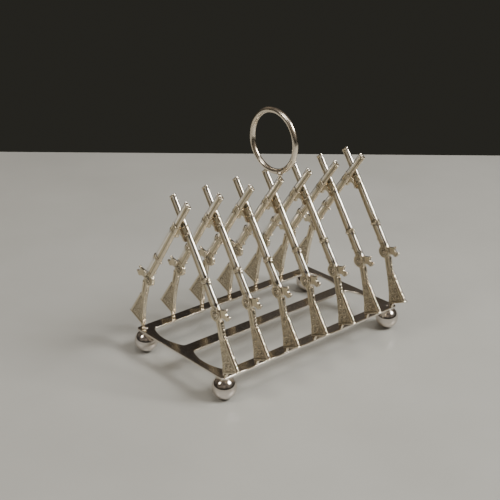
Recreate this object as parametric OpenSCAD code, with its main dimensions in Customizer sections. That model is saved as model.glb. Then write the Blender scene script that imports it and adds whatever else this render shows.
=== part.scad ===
// Toast rack: pairs of crossed miniature rifles on a pierced base frame with ball feet and a ring handle.
// X runs along the rack, Y across it, Z up. The origin is on the table, under the middle of the rack.

/* [Base frame] */
// Length of the base frame
base_l = 150; // [130:1:200]
// Width of the base frame
base_w = 85; // [80:1:100]
// Thickness of the base frame
base_t = 1.6; // [1:0.1:3]
// Height of the top of the base frame above the table
base_top = 16; // [14:0.5:20]
// Width of the front and rear rails
rail_w = 8; // [6:0.5:12]
// Width of the centre rail
centre_w = 9; // [6:0.5:14]
// Width of an end strip at its corners
end_w = 8.6; // [6:0.1:12]
// How far each opening's end is bowed out, which narrows the strip
end_bow = 3.8; // [1:0.1:4.5]
// Radius of the openings' corners
corner_r = 2; // [0.5:0.1:4]
// Radius of the frame's outer corners
outer_r = 2; // [0.5:0.1:4]

/* [Ball feet] */
// Diameter of a ball foot
ball_d = 15; // [14.6:0.1:16]
// Distance of a foot's axis from the frame's edges
foot_inset = 4.4; // [4:0.1:8]
// Diameter of the peg that is riveted through the frame
foot_peg_d = 2.2; // [1.5:0.1:3]
// Diameter of the flat where a ball rests on the table
worn_flat_d = 2; // [1:0.1:3]

/* [Rifle pairs] */
// Number of rifle pairs, fixed by the list of nodes
pair_count = 7; // [7:1:7]
// Distance from one pair to the next
pitch = 23.8; // [21:0.1:30]
// How far each toe stands off its pair's middle, along the rack
toe_shift = 0.9; // [0:0.1:2]
// Half the distance between the two rifles' middle planes where they cross
cross_shift = 1.5; // [1.4:0.1:3]
// Distance of the toe from the rack's middle plane
toe_y = 40.3; // [36:0.1:42]

/* [Barrel] */
// Slope of the barrel from the table
barrel_slope = 53.9; // [50:0.1:58]
// Distance of the breech from the rack's middle plane
breech_y = 33.6; // [30:0.1:36]
// Height of the breech above the table
breech_z = 55.5; // [50:0.1:60]
// Length of the barrel
barrel_l = 71.4; // [66:0.1:76]
// Radius of the barrel at the breech
breech_r = 1.5; // [1.3:0.05:2]
// Radius of the barrel at the muzzle
muzzle_r = 1.08; // [1.05:0.01:1.4]
// Radius of the muzzle's bore
bore_r = 0.6; // [0.3:0.05:0.8]
// Depth of the muzzle's bore
bore_depth = 2; // [1:0.5:6]

/* [Stock] */
// Thickness of the fore-end
fore_t = 2; // [1.6:0.1:2.1]
// Radius of the fore-end's round underside
fore_round_r = 1.12; // [1.1:0.01:1.3]
// Radius of the rod under the barrel
rod_r = 0.98; // [0.8:0.01:1.1]
// Thickness of the rib between the rod and the barrel
rib_t = 1.5; // [1:0.1:1.9]
// Depth of the fore-end below the barrel's axis, at the lock
fore_depth_lock = 4.9; // [4:0.1:6]
// Depth of the fore-end below the barrel's axis, at the nose cap
fore_depth_nose = 3.9; // [3:0.1:5]
// Distance of the nose cap's lower edge from the breech
nose_at = 46; // [40:0.5:50]
// Length of the nose cap
nose_l = 6; // [3:0.5:8]
// Thickness of the butt
butt_t = 2.4; // [2:0.1:3]
// Length of the butt's end face
butt_end_l = 14.1; // [12:0.1:16]
// Tilt of the butt's end face from the table
butt_tilt = 23.5; // [15:0.5:30]
// Height of the toe above the base frame
toe_h = 1.8; // [1:0.1:3]
// Thickness of the hammer
hammer_t = 1.4; // [1.2:0.1:2]
// Radius of the disc guard
guard_r = 4.2; // [3.5:0.1:4.6]
// Thickness of the disc guard
guard_t = 2; // [1.6:0.1:2.3]

/* [Ring handle] */
// Radius of the ring, to the middle of its wire
ring_r = 18.9; // [16:0.1:24]
// Radius of the ring's wire
ring_wire_r = 1.7; // [1.2:0.1:2.2]
// Height of the ring's middle above the table
ring_z = 133.6; // [130:0.1:145]
// Radius of the solder beads under the ring
bead_r = 1.7; // [1.5:0.1:2]

/* [Ties] */
// Thickness of the web under a crossing
tie_t = 2.2; // [1.8:0.1:2.6]
// Height of the web's foot
tie_z = 88.4; // [87:0.1:90]
// Half the width of the web at its foot
tie_half_w = 5.2; // [4.8:0.1:5.6]
// Height of the web above its foot
tie_h = 7.4; // [6.5:0.1:7.6]
// Radius of the web's arch
tie_arch_r = 2.9; // [2.5:0.1:3.2]

/* [Hidden] */

$fn = 48;
polished = [0.86, 0.84, 0.80];
satin = [0.74, 0.69, 0.60];

base_bottom = base_top - base_t;
foot_x = base_l / 2 - foot_inset;
foot_y = base_w / 2 - foot_inset;

// Unit directions of the barrel in the rack plane: along it towards the muzzle, and out of its top side.
// Points in the rack plane are [distance outwards from the rack's middle plane, height].
barrel_dir = [-cos(barrel_slope), sin(barrel_slope)];
barrel_out = [sin(barrel_slope), cos(barrel_slope)];
breech = [breech_y, breech_z];
function on_barrel(along, out) = breech + along * barrel_dir + out * barrel_out;

// The two barrel axes cross on the rack's middle plane.
cross_z = breech_z + breech_y * tan(barrel_slope);
lean = atan((cross_shift + toe_shift) / (cross_z - base_top));

// The butt's outline: toe, heel, comb and wrist.
toe = [toe_y, base_top + toe_h];
butt_dir = [cos(butt_tilt), sin(butt_tilt)];
butt_up = [-sin(butt_tilt), cos(butt_tilt)];
heel = toe + butt_end_l * butt_dir;
comb_nose = [41.4, 39.2];
wrist_in = [34.6, 43.2];
guard_middle = [31.5, 52];
tenon_r = 0.65;
tenon_y = toe_y + 1;
through = 1; // how far a cutter runs past the face it opens

function pair_x(i) = (i - (pair_count + 1) / 2) * pitch;

// Turns a flat outline in the rack plane into a plate of thickness t, centred on its rifle's middle plane.
module plate(t) {
    rotate([90, 0, -90])
        translate([0, 0, -t / 2])
            linear_extrude(height = t)
                children();
}

// A round rod from point p to point q of the rack plane, set x off the middle plane.
module rod(p, q, r1, r2, x = 0) {
    d = q - p;
    translate([x, -p[0], p[1]])
        rotate([atan2(d[0], d[1]), 0, 0])
            cylinder(h = norm(d), r1 = r1, r2 = r2);
}

// A round boss through the plate at point p, of length l along the rack.
module boss(p, r, l) {
    translate([-l / 2, -p[0], p[1]])
        rotate([0, 90, 0])
            cylinder(h = l, r = r);
}

module ball(p, r, x = 0) {
    translate([x, -p[0], p[1]])
        sphere(r = r);
}

// ---------- base ----------

function arc(c, r, from, to, steps) =
    [for (k = [0 : steps]) let (t = from + (to - from) * k / steps) c + r * [cos(t), sin(t)]];

// One opening of the frame: a long rectangle with bowed ends and rounded corners.
module opening_outline() {
    half = (base_w / 2 - rail_w - centre_w / 2) / 2;
    middle_y = centre_w / 2 + half;
    bow_r = (half * half + end_bow * end_bow) / (2 * end_bow);
    bow_x = base_l / 2 - end_w + end_bow - bow_r;
    turn = asin((half - corner_r) / (bow_r - corner_r));
    corner_x = bow_x + (bow_r - corner_r) * cos(turn);
    low_y = middle_y - half + corner_r;
    high_y = middle_y + half - corner_r;
    polygon(concat(
        arc([corner_x, high_y], corner_r, turn, 90, 6),
        arc([-corner_x, high_y], corner_r, 90, 180 - turn, 6),
        arc([-bow_x, middle_y], bow_r, 180 - turn, 180 + turn, 16),
        arc([-corner_x, low_y], corner_r, 180 + turn, 270, 6),
        arc([corner_x, low_y], corner_r, 270, 360 - turn, 6),
        arc([bow_x, middle_y], bow_r, -turn, turn, 16)
    ));
}

module frame_outline() {
    x = base_l / 2 - outer_r;
    y = base_w / 2 - outer_r;
    polygon(concat(
        arc([x, y], outer_r, 0, 90, 8),
        arc([-x, y], outer_r, 90, 180, 8),
        arc([-x, -y], outer_r, 180, 270, 8),
        arc([x, -y], outer_r, 270, 360, 8)
    ));
}

module base_frame() {
    cutter_h = base_t + 2 * through;
    color(polished) difference() {
        translate([0, 0, base_bottom])
            linear_extrude(height = base_t)
                frame_outline();
        for (side = [0, 180])
            rotate([0, 0, side])
                translate([0, 0, base_bottom - through])
                    linear_extrude(height = cutter_h)
                        opening_outline();
        for (sx = [-1, 1], sy = [-1, 1])
            translate([sx * foot_x, sy * foot_y, base_bottom - through])
                cylinder(h = cutter_h, d = foot_peg_d);
        for (i = [1 : pair_count], side = [0, 180])
            rotate([0, 0, side])
                translate([pair_x(i) - toe_shift, -tenon_y, base_bottom - through])
                    cylinder(h = cutter_h, r = tenon_r);
    }
}

// A turned ball, worn flat where it stands and cut flat under the frame, with a peg that goes up through it.
module foot(sx, sy) {
    ball_r = ball_d / 2;
    ball_z = sqrt(ball_r * ball_r - worn_flat_d * worn_flat_d / 4);
    color(polished) translate([sx * foot_x, sy * foot_y, 0])
        union() {
            intersection() {
                translate([0, 0, ball_z])
                    sphere(d = ball_d);
                translate([-ball_d, -ball_d, 0])
                    cube([2 * ball_d, 2 * ball_d, base_bottom]);
            }
            translate([0, 0, ball_z])
                cylinder(h = base_top - ball_z, d = foot_peg_d);
        }
}

// ---------- rifles ----------

// Stands a rifle that was drawn in the rack plane on its rail: side 0 is the front rail, 180 the rear one.
module on_rail(i, side) {
    rotate([0, 0, side])
        translate([(side == 0 ? 1 : -1) * pair_x(i) - toe_shift, 0, base_top])
            rotate([0, lean, 0])
                translate([0, 0, -base_top])
                    children();
}

module barrel() {
    difference() {
        rod(breech, on_barrel(barrel_l, 0), breech_r, muzzle_r);
        rod(on_barrel(barrel_l - bore_depth, 0), on_barrel(barrel_l + through, 0), bore_r, bore_r);
    }
}

// The rod and rib under the barrel, from the nose cap to the muzzle.
module under_rod() {
    depth = fore_depth_nose - 1;
    start = nose_at + 2;
    rib_end = barrel_l - 0.3;
    rod(on_barrel(start, -depth), on_barrel(barrel_l, -depth), rod_r, rod_r);
    plate(rib_t)
        polygon([
            on_barrel(start, 0), on_barrel(rib_end, 0), on_barrel(rib_end, -depth), on_barrel(start, -depth)
        ]);
}

// The fore-end: a flat-sided stock with a round underside.
module fore_end() {
    end = nose_at + 1;
    lock = on_barrel(3, fore_round_r - fore_depth_lock);
    nose = on_barrel(end, fore_round_r - fore_depth_nose);
    rod(lock, nose, fore_round_r, fore_round_r);
    plate(fore_t)
        polygon([on_barrel(-1, 0.6), on_barrel(end, 0.5), nose, lock]);
}

// A raised band round barrel and stock, from one place along the barrel to another. Its thickness is t,
// its radius r_top round the barrel and r_low round the underside, and depth is the way between the two.
module band(from, to, t, r_top, r_low, depth) {
    plate(t)
        polygon([on_barrel(from, 0), on_barrel(to, 0), on_barrel(to, -depth), on_barrel(from, -depth)]);
    rod(on_barrel(from, 0), on_barrel(to, 0), r_top, r_top - 0.05);
    rod(on_barrel(from, -depth), on_barrel(to, -depth), r_low, r_low);
}

module furniture() {
    band(nose_at, nose_at + nose_l, 2.34, 1.4, 1.32, 2.72);
    band(17, 19.5, 2.86, 1.6, 1.52, 3.15);
    // Rear sight and its leaf.
    plate(1.5)
        polygon([on_barrel(14.4, 1), on_barrel(19.4, 1), on_barrel(19, 2.3), on_barrel(15, 1.9)]);
    // Sling swivels on the underside.
    ball(on_barrel(18.2, -5.2), 0.75);
    ball(on_barrel(7.5, -5.3), 0.7);
}

module lock_and_hammer() {
    // Lock body behind the breech.
    plate(butt_t)
        polygon([
            on_barrel(3.4, 0.9), on_barrel(3.4, -4), [31, 50.5], [33.4, 47.2], [36.6, 49], [36, 53],
            on_barrel(-1, 1.4)
        ]);
    rod(on_barrel(-1.6, 0), on_barrel(1.2, 0), 1.75, 1.75);
    // Hammer: a neck, a fan with a crescent cut out of it, and two horns.
    difference() {
        plate(hammer_t)
            polygon([
                on_barrel(-0.4, 0.8), on_barrel(-0.6, 3.2), on_barrel(-2, 6.9), on_barrel(-7, 7.4),
                on_barrel(-8.3, 5.2), on_barrel(-8, 3.6), on_barrel(-5.8, 2.4), on_barrel(-5.4, 0.6)
            ]);
        boss(on_barrel(-4.3, 7.8), 2.1, hammer_t + 2 * through);
    }
    ball(on_barrel(-2.4, 6.9), 0.95);
    ball(on_barrel(-6.9, 7), 0.95);
    // Nipple beside the breech, and the lock's screws on both sides.
    ball(on_barrel(0.6, 0.4), 0.8, -1.3);
    boss(on_barrel(-2.6, -1.2), 0.7, butt_t + 0.8);
    // Disc guard with a raised ring and a raised middle on both faces.
    boss(guard_middle, guard_r, guard_t);
    difference() {
        boss(guard_middle, 2.5, guard_t + 0.5);
        boss(guard_middle, 1.7, guard_t + 2 * through);
    }
    boss(guard_middle, 0.8, guard_t + 0.6);
}

module butt() {
    comb_r = 1.4;
    comb_end = comb_nose - [0.9, 0.3];
    plate(butt_t)
        polygon([
            toe, heel, heel + 1.2 * butt_up, comb_nose, [40.3, 39.9], [39.5, 42.2], [38.5, 45.2],
            [37.4, 48.2], [36.4, 50.6], [33, 47.6], wrist_in, [36.1, 38.2], [37.5, 33], [39, 26.3]
        ]);
    // Round comb and wrist.
    rod(heel - 1.1 * butt_dir + 0.2 * butt_up, comb_end, comb_r, comb_r);
    ball(comb_end, comb_r);
    rod([38.7, 40.6], [36.2, 49.4], 1.3, 1.6);
    rod([36.3, 40.5], [34.4, 47.4], 1.28, 1.3);
    // Beads up the outside of the wrist.
    for (k = [0 : 2])
        ball([39.9, 41.4] + k * [-0.85, 2.6], 0.6);
    // Butt plate.
    plate(butt_t + 0.4)
        polygon([toe, heel, heel + 0.9 * butt_up, toe + 0.9 * butt_up]);
}

// The foot under the toe, which stands on the rail.
module toe_foot() {
    plate(fore_t)
        polygon([
            [toe_y + 0.05, base_top], [base_w / 2 - 0.2, base_top], [toe_y + 3, base_top + toe_h + 1.6],
            [toe_y + 0.2, base_top + toe_h + 0.6]
        ]);
}

module rifle(i, side) {
    color(satin) union() {
        on_rail(i, side) {
            barrel();
            under_rod();
            fore_end();
            furniture();
            lock_and_hammer();
            butt();
            toe_foot();
        }
        rotate([0, 0, side])
            translate([(side == 0 ? 1 : -1) * pair_x(i) - toe_shift, -tenon_y, base_bottom])
                cylinder(h = base_t + 1, r = tenon_r);
    }
}

// The parts of both rifles that a tie or the ring has to fit against.
module pair_of_barrels(i) {
    for (side = [0, 180])
        on_rail(i, side) {
            barrel();
            under_rod();
            fore_end();
            furniture();
        }
}

// ---------- ties and handle ----------

// A small web that fills the corner under a crossing, with an arched lower edge.
module tie(i) {
    color(satin) difference() {
        translate([pair_x(i), 0, 0]) {
            difference() {
                plate(tie_t)
                    polygon([[-tie_half_w, tie_z], [tie_half_w, tie_z], [0, tie_z + tie_h]]);
                boss([0, tie_z], tie_arch_r, tie_t + 2 * through);
            }
            ball([0, tie_z + tie_arch_r], 0.7);
        }
        pair_of_barrels(i);
    }
}

// The ring stands in two beads of solder on the muzzle ends of the middle pair.
module ring_handle() {
    middle = (pair_count + 1) / 2;
    bead = [1.2, 7.5, 114.9];
    color(polished) difference() {
        union() {
            translate([0, 0, ring_z])
                rotate([0, 90, 0])
                    rotate_extrude()
                        translate([ring_r, 0])
                            circle(r = ring_wire_r);
            for (side = [0, 180])
                rotate([0, 0, side])
                    translate(bead)
                        sphere(r = bead_r);
        }
        pair_of_barrels(middle);
    }
}

base_frame();
foot(-1, -1);  // foot_front_left
foot(1, -1);  // foot_front_right
foot(-1, 1);  // foot_rear_left
foot(1, 1);  // foot_rear_right
rifle(1, 0);  // rifle_front_1
rifle(2, 0);  // rifle_front_2
rifle(3, 0);  // rifle_front_3
rifle(4, 0);  // rifle_front_4
rifle(5, 0);  // rifle_front_5
rifle(6, 0);  // rifle_front_6
rifle(7, 0);  // rifle_front_7
rifle(1, 180);  // rifle_rear_1
rifle(2, 180);  // rifle_rear_2
rifle(3, 180);  // rifle_rear_3
rifle(4, 180);  // rifle_rear_4
rifle(5, 180);  // rifle_rear_5
rifle(6, 180);  // rifle_rear_6
rifle(7, 180);  // rifle_rear_7
tie(1);  // tie_1
tie(2);  // tie_2
tie(3);  // tie_3
tie(4);  // tie_4
tie(5);  // tie_5
tie(6);  // tie_6
tie(7);  // tie_7
ring_handle();
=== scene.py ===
# %% [markdown]
# # A silver-plated toast rack made of crossed rifles
# Seven pairs of small cast rifles stand on a flat pierced frame. The frame stands on four balls, and a
# plain ring to carry the rack by is soldered to the middle pair. The measured solids come first, as a fixed
# frame that is never moved. Each step then replaces some of them with a piece that has the finer shapes.

# %% Load the measured frame
import math

import bmesh
import bpy
import numpy as np
from mathutils import Matrix, Quaternion, Vector


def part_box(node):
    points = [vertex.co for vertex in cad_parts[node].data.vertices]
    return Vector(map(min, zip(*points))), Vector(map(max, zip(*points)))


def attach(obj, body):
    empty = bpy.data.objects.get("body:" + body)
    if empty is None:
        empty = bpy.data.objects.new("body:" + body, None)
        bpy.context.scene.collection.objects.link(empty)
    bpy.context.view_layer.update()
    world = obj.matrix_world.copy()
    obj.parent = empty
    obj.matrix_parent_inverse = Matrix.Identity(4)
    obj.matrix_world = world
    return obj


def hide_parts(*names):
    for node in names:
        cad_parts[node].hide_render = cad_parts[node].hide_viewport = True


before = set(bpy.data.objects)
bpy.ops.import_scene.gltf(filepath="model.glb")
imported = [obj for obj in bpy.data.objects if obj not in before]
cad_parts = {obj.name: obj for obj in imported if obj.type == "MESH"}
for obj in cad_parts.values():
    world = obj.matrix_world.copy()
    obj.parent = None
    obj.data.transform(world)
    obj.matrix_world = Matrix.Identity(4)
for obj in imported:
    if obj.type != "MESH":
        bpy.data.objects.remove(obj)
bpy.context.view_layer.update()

MM = 0.001

# %% [markdown]
# ## The camera
# A long lens stands a good half metre away and looks down on the rack's front left corner. It could be aimed
# by hand, but a target, a distance and three angles say the same thing and are easy to read and change.

# %% Set the camera
VIEW_TURN = math.radians(41.708)
VIEW_TILT = math.radians(22.85)
VIEW_ROLL = math.radians(0.67)
VIEW_TARGET = Vector((-13.5, 4.9, 64.3)) * MM
VIEW_DISTANCE = 644.6 * MM
look = Vector((
    math.sin(VIEW_TURN) * math.cos(VIEW_TILT),
    math.cos(VIEW_TURN) * math.cos(VIEW_TILT),
    -math.sin(VIEW_TILT),
))
camera = bpy.data.objects.new("camera", bpy.data.cameras.new("camera"))
bpy.context.scene.collection.objects.link(camera)
camera.data.sensor_width = 36
camera.data.lens = 74.6
camera.data.clip_start = 10 * MM
camera.location = VIEW_TARGET - look * VIEW_DISTANCE
camera.rotation_mode = "QUATERNION"
camera.rotation_quaternion = look.to_track_quat("-Z", "Y") @ Quaternion((0, 0, 1), VIEW_ROLL)
bpy.context.scene.camera = camera
print("camera at", [round(v, 3) for v in camera.location])

# %% [markdown]
# ## Materials as node trees
# Every finish here is a small tree of nodes round one Principled shader. A few helpers keep the trees short.
# One adds any node and fills its sockets, one starts a material, and the others each add one common node:
# a noise, a change of range, a mix of two colours, and a sum.

# %% Helpers for material trees
def add_node(tree, kind, settings=(), **sockets):
    """Adds a node. A socket is named with underscores for spaces, or numbered as i0, i1 and so on.

    The value of a socket is a number, a vector, a material, or another node's output to link to it.
    """
    node = tree.nodes.new(kind)
    for name, value in dict(settings).items():
        setattr(node, name, value)
    for name, value in sockets.items():
        numbered = name[0] == "i" and name[1:].isdigit()
        socket = node.inputs[int(name[1:]) if numbered else name.replace("_", " ")]
        if isinstance(value, bpy.types.NodeSocket):
            tree.links.new(value, socket)
        else:
            socket.default_value = value
    return node


def new_finish(name):
    """An empty material: its tree, its Principled shader and an Object coordinate socket."""
    material = bpy.data.materials.new(name)
    material.use_nodes = True
    tree = material.node_tree
    shader = tree.nodes["Principled BSDF"]
    return material, tree, shader, add_node(tree, "ShaderNodeTexCoord").outputs["Object"]


def noise(tree, where, scale, detail=3.0, roughness=0.55):
    """A soft random pattern. In metres, a scale of 1000 makes its patches about a millimetre wide."""
    return add_node(
        tree, "ShaderNodeTexNoise", Vector=where, Scale=scale, Detail=detail, Roughness=roughness
    ).outputs["Fac"]


def spread(tree, value, low, high, to_low=0.0, to_high=1.0):
    """Maps a number from one range onto another and clamps it."""
    return add_node(
        tree, "ShaderNodeMapRange", Value=value, From_Min=low, From_Max=high, To_Min=to_low, To_Max=to_high
    ).outputs["Result"]


def mixed(tree, factor, first, second):
    """Mixes two colours by a factor."""
    node = add_node(tree, "ShaderNodeMix", {"data_type": "RGBA"}, i0=factor, i6=first, i7=second)
    return node.outputs[2]


def worked(tree, kind, first, second):
    """One sum of two numbers, such as MULTIPLY or MAXIMUM."""
    return add_node(tree, "ShaderNodeMath", {"operation": kind}, i0=first, i1=second).outputs[0]


def attribute(tree, name):
    """Reads a number that was stored on the points of the mesh."""
    return add_node(tree, "ShaderNodeAttribute", {"attribute_name": name}).outputs["Fac"]


# %% [markdown]
# ## The polished finish
# The frame, feet, ring and barrels are burnished: almost a mirror, with the slow waves of hand work, hair
# scratches and a faint yellow bloom where the plate has aged. A mirror with one even roughness looks like
# glass, so the roughness varies in smudges. Where a mesh stores its mark of tarnish and painted shade, the
# plate goes dark in patches: partly real tarnish, partly painted shade where bands and the lock would shade
# it.

# %% Make the polished finish
YELLOWED = (0.90, 0.85, 0.76)
SPECK_BROWN = (0.30, 0.25, 0.18, 1)
# The near-black of the barrel's patches, which are partly tarnish and partly painted shade.
TARNISH_AND_SHADE_BLACK = (0.06, 0.045, 0.025, 1)
HAIR_TURN = (0.4, 0.9, 0.3)
HAIR_STRETCH = (9000, 350, 350)


def polished_plate(name, tone, gloss, wave, wear):
    """A mirror finish. Wave is how uneven its surface is, and wear is how scratched and speckled it is."""
    material, tree, shader, where = new_finish(name)
    bloom = spread(tree, noise(tree, where, 90, 3), 0.42, 0.72)
    specks = spread(tree, noise(tree, where, 1400, 2), 0.66, 0.80)
    aged = mixed(tree, bloom, tone, (*(t * y for t, y in zip(tone, YELLOWED)), 1))
    speckled = mixed(tree, worked(tree, "MULTIPLY", specks, 0.4 * wear), aged, SPECK_BROWN)
    # Painted shade with some tarnish: the plate goes near-black in patches where the mesh marks it.
    patchy = spread(tree, noise(tree, where, 900, 2), 0.40, 0.56)
    tarnish_and_shade_patches = worked(tree, "MULTIPLY", attribute(tree, "tarnish_and_shade"), patchy)
    tree.links.new(mixed(tree, tarnish_and_shade_patches, speckled, TARNISH_AND_SHADE_BLACK), shader.inputs["Base Color"])
    smudge = spread(tree, noise(tree, where, 220, 3), 0.35, 0.75, gloss, gloss + 0.1 * wear)
    tree.links.new(smudge, shader.inputs["Roughness"])
    shader.inputs["Metallic"].default_value = 1.0
    stretched = add_node(
        tree, "ShaderNodeMapping", Vector=where, Rotation=HAIR_TURN, Scale=HAIR_STRETCH
    ).outputs["Vector"]
    hairs = spread(tree, noise(tree, stretched, 1.0, 1), 0.60, 0.72)
    fine = add_node(tree, "ShaderNodeBump", Strength=0.05 * wear, Distance=0.00002, Height=hairs)
    slow = add_node(
        tree, "ShaderNodeBump", Strength=wave, Distance=0.0006,
        Height=noise(tree, where, 70, 1), Normal=fine.outputs["Normal"],
    )
    tree.links.new(slow.outputs["Normal"], shader.inputs["Normal"])
    print("finish", name, "has", len(tree.nodes), "nodes")
    return material


frame_finish = polished_plate("polished frame plate", (0.82, 0.77, 0.70, 1), 0.10, wave=0.20, wear=1.0)
foot_finish = polished_plate("polished ball plate", (0.74, 0.69, 0.65, 1), 0.05, wave=0.05, wear=0.5)
barrel_finish = polished_plate("polished barrel plate", (0.92, 0.89, 0.83, 1), 0.08, wave=0.10, wear=0.8)
ring_finish = polished_plate("polished ring plate", (0.90, 0.81, 0.68, 1), 0.20, wave=0.03, wear=0.1)

# %% [markdown]
# ## The cast finish
# The stocks came satin from the mould. Their flats are tan and grainy, their hollows have kept a brown
# tarnish, and their ridges and narrow edges are rubbed bright. A texture alone can't know where a ridge is,
# so the meshes store two marks, "rubbed" and "burnished", and the finish reads them.

# %% Make the satin cast finish
TAN, DULL_TAN = (0.76, 0.65, 0.46, 1), (0.58, 0.49, 0.33, 1)
PALE_GRAIN = (0.92, 0.84, 0.70, 1)
RUBBED_SILVER = (0.80, 0.71, 0.56, 1)
TARNISH = (0.09, 0.07, 0.04, 1)
RUBBED_GLOSS = 0.10


def cast_plate(name):
    """A satin finish whose colour and gloss follow the shape of the casting."""
    material, tree, shader, where = new_finish(name)
    rubbed = attribute(tree, "rubbed")
    ridge = spread(tree, rubbed, 0.54, 0.66)
    hollow = spread(tree, rubbed, 0.49, 0.40)
    bright = worked(tree, "MAXIMUM", ridge, attribute(tree, "burnished"))
    grain = noise(tree, where, 2600, 3, 0.6)
    patch = spread(tree, noise(tree, where, 160, 4), 0.35, 0.70)
    speckled = mixed(tree, spread(tree, grain, 0.52, 0.70), mixed(tree, patch, TAN, DULL_TAN), PALE_GRAIN)
    shiny = mixed(tree, bright, speckled, RUBBED_SILVER)
    colour = mixed(tree, worked(tree, "MULTIPLY", hollow, 0.85), shiny, TARNISH)
    tree.links.new(colour, shader.inputs["Base Color"])
    satin = spread(tree, grain, 0.3, 0.7, 0.24, 0.36)
    rough = add_node(tree, "ShaderNodeMix", {"data_type": "FLOAT"}, i0=bright, i2=satin, i3=RUBBED_GLOSS)
    tree.links.new(rough.outputs[0], shader.inputs["Roughness"])
    shader.inputs["Metallic"].default_value = 1.0
    sand = add_node(tree, "ShaderNodeBump", Strength=0.6, Distance=0.0001, Height=grain)
    dents = add_node(
        tree, "ShaderNodeBump", Strength=0.6, Distance=0.0002,
        Height=noise(tree, where, 750, 2), Normal=sand.outputs["Normal"],
    )
    tree.links.new(dents.outputs["Normal"], shader.inputs["Normal"])
    print("finish", name, "has", len(tree.nodes), "nodes")
    return material


stock_finish = cast_plate("satin cast plate")

# %% [markdown]
# ## Geometry Nodes from a script
# A Geometry Nodes tree is a recipe that runs on a mesh. Here each tree gets named inputs, runs on a holder
# object, and its result is kept as a plain mesh, so nothing is left live in the finished rack.

# %% Helpers for Geometry Nodes trees
SOCKET_KINDS = {
    float: "NodeSocketFloat", int: "NodeSocketInt", bpy.types.Material: "NodeSocketMaterial",
}


def new_recipe(name, **inputs):
    """A tree with a Geometry input and output and one number or material input for each keyword."""
    tree = bpy.data.node_groups.new(name, "GeometryNodeTree")
    tree.interface.new_socket("Geometry", in_out="INPUT", socket_type="NodeSocketGeometry")
    for label, value in inputs.items():
        kind = SOCKET_KINDS[type(value)]
        socket = tree.interface.new_socket(label.replace("_", " "), in_out="INPUT", socket_type=kind)
        socket.default_value = value
    tree.interface.new_socket("Geometry", in_out="OUTPUT", socket_type="NodeSocketGeometry")
    return tree, tree.nodes.new("NodeGroupInput").outputs


def end_recipe(tree, geometry, material):
    """Ends a tree: instances become real geometry, shaded smooth, and the material is set."""
    real = add_node(tree, "GeometryNodeRealizeInstances", Geometry=geometry)
    smooth = add_node(tree, "GeometryNodeSetShadeSmooth", Geometry=real.outputs[0])
    painted = add_node(tree, "GeometryNodeSetMaterial", Geometry=smooth.outputs[0], Material=material)
    tree.links.new(painted.outputs[0], tree.nodes.new("NodeGroupOutput").inputs[0])
    print("recipe", tree.name, "has", len(tree.nodes), "nodes")


def evaluated(holder):
    """The plain mesh that an object's modifiers or curve settings make. The object itself is removed."""
    bpy.context.scene.collection.objects.link(holder)
    result = bpy.data.meshes.new_from_object(
        holder.evaluated_get(bpy.context.evaluated_depsgraph_get())
    )
    bpy.data.objects.remove(holder)
    return result


def cook(tree, mesh, **sizes):
    """Runs a tree on a mesh with the given inputs and returns the result as a plain mesh."""
    holder = bpy.data.objects.new("holder", mesh)
    modifier = holder.modifiers.new(tree.name, "NODES")
    modifier.node_group = tree
    for socket in tree.interface.items_tree:
        label = socket.name.replace(" ", "_")
        if socket.in_out == "INPUT" and label in sizes:
            modifier[socket.identifier] = sizes[label]
    return evaluated(holder)


def finished(name, mesh, slot, *nodes):
    """Links a finished mesh, in metres, as a piece of the rack that stands for some measured solids."""
    mesh.name = name
    piece = bpy.data.objects.new(name, mesh)
    bpy.context.scene.collection.objects.link(piece)
    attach(piece, "root")
    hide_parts(*nodes)


# %% [markdown]
# ## The plane of a rifle
# A rifle is flat, so it is drawn in one upright plane: the first number of a point is its distance outwards
# from the rack's middle, the second its height above the table, both in millimetres. Places along the barrel
# are easier to say as a distance from the breech and a distance outwards from the barrel's axis. The two
# rifles of a pair can't share one plane, so each toe and each crossing stands a little to one side.

# %% Measure the rack and set out the barrel line
PAIRS = 7
FRONT = ["rifle_front_%d" % i for i in range(1, PAIRS + 1)]
REAR = ["rifle_rear_%d" % i for i in range(1, PAIRS + 1)]
frame_low, frame_high = (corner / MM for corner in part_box("base_frame"))
BASE_TOP = frame_high.z
BASE_THICK = frame_high.z - frame_low.z
TOE_SHIFT = 0.9
CROSS_SHIFT = 1.5
BARREL_SLOPE = math.radians(53.9)
BARREL_LENGTH = 71.4
BREECH = np.array([33.6, 55.5])
TOE_OUT = 40.3
up_barrel = np.array([-math.cos(BARREL_SLOPE), math.sin(BARREL_SLOPE)])
off_barrel = np.array([math.sin(BARREL_SLOPE), math.cos(BARREL_SLOPE)])
crossing_height = BREECH[1] + BREECH[0] * math.tan(BARREL_SLOPE)
LEAN = math.atan((CROSS_SHIFT + TOE_SHIFT) / (crossing_height - BASE_TOP))


def on_barrel(along, out=0.0):
    """A point of the plane, given along the barrel from its breech and outwards from its axis."""
    return BREECH + along * up_barrel + out * off_barrel


def pair_middle(front, rear):
    """Where a pair stands along the rack, from the boxes of its two measured rifles."""
    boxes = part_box(front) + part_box(rear)
    return sum(corner.x for corner in boxes) / len(boxes) / MM


PAIR_MIDDLES = [pair_middle(front, rear) for front, rear in zip(FRONT, REAR)]
print("pairs stand at", [round(x, 2) for x in PAIR_MIDDLES], "mm; lean", round(math.degrees(LEAN), 2))

# %% [markdown]
# ## Shells that are melted together
# A casting has no seams: its pattern was carved or built up, and the metal took its whole outline. Simple
# shells that overlap, and that a voxel Remesh melts into one skin, give the same soft, seamless look. Carving
# every fillet by hand would take far longer, and booleans would leave knife edges that no casting has.

# %% Helpers that add a shell
ROD_SIDES, DISC_SIDES = 24, 40


def in_space(point, x=0.0):
    """A point of the rifle's plane as a point in space."""
    return Vector((x, -float(point[0]), float(point[1])))


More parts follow.
